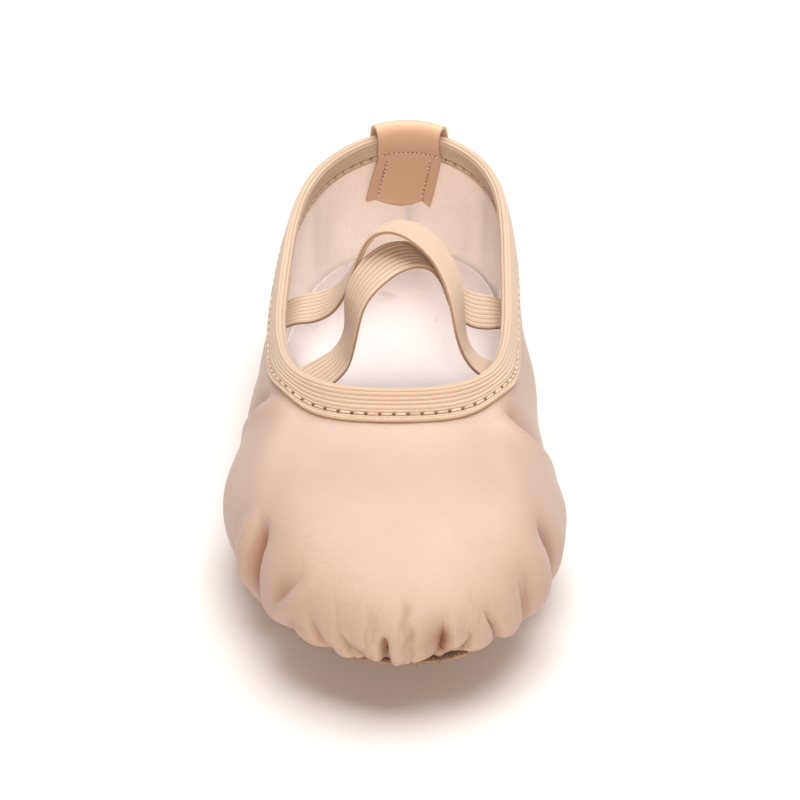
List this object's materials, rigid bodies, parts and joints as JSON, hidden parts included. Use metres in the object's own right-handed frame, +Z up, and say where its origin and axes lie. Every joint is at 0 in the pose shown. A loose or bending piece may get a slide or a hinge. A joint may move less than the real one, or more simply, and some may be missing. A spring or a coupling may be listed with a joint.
{
  "type": "ballet shoe",
  "caption": "Soft low ballet slipper with a gathered toe, a ribbed elastic collar binding, a folded heel tab and elastic bands that cross over the instep.",
  "frame": {"origin": "middle of the outside box in plan, on the floor under the sole", "axes": "+Z up from the floor, +Y from the toe to the heel, +X to the right of someone who faces the toe"},
  "size_m": [0.0782, 0.1874, 0.0572],
  "materials": {
    "outsole": "matt suede",
    "insole": "matt, pale",
    "upper": "soft satin, blush",
    "collar_binding": "ribbed elastic, warm beige",
    "heel_tab": "soft satin, tan blush",
    "strap": "ribbed elastic, warm beige"
  },
  "bodies": {
    "root": {"outsole": "outsole", "insole": "insole", "upper": "upper", "collar_binding": "collar_binding", "heel_tab": "heel_tab", "strap_under": "strap", "strap_over": "strap"}
  },
  "joints": []
}
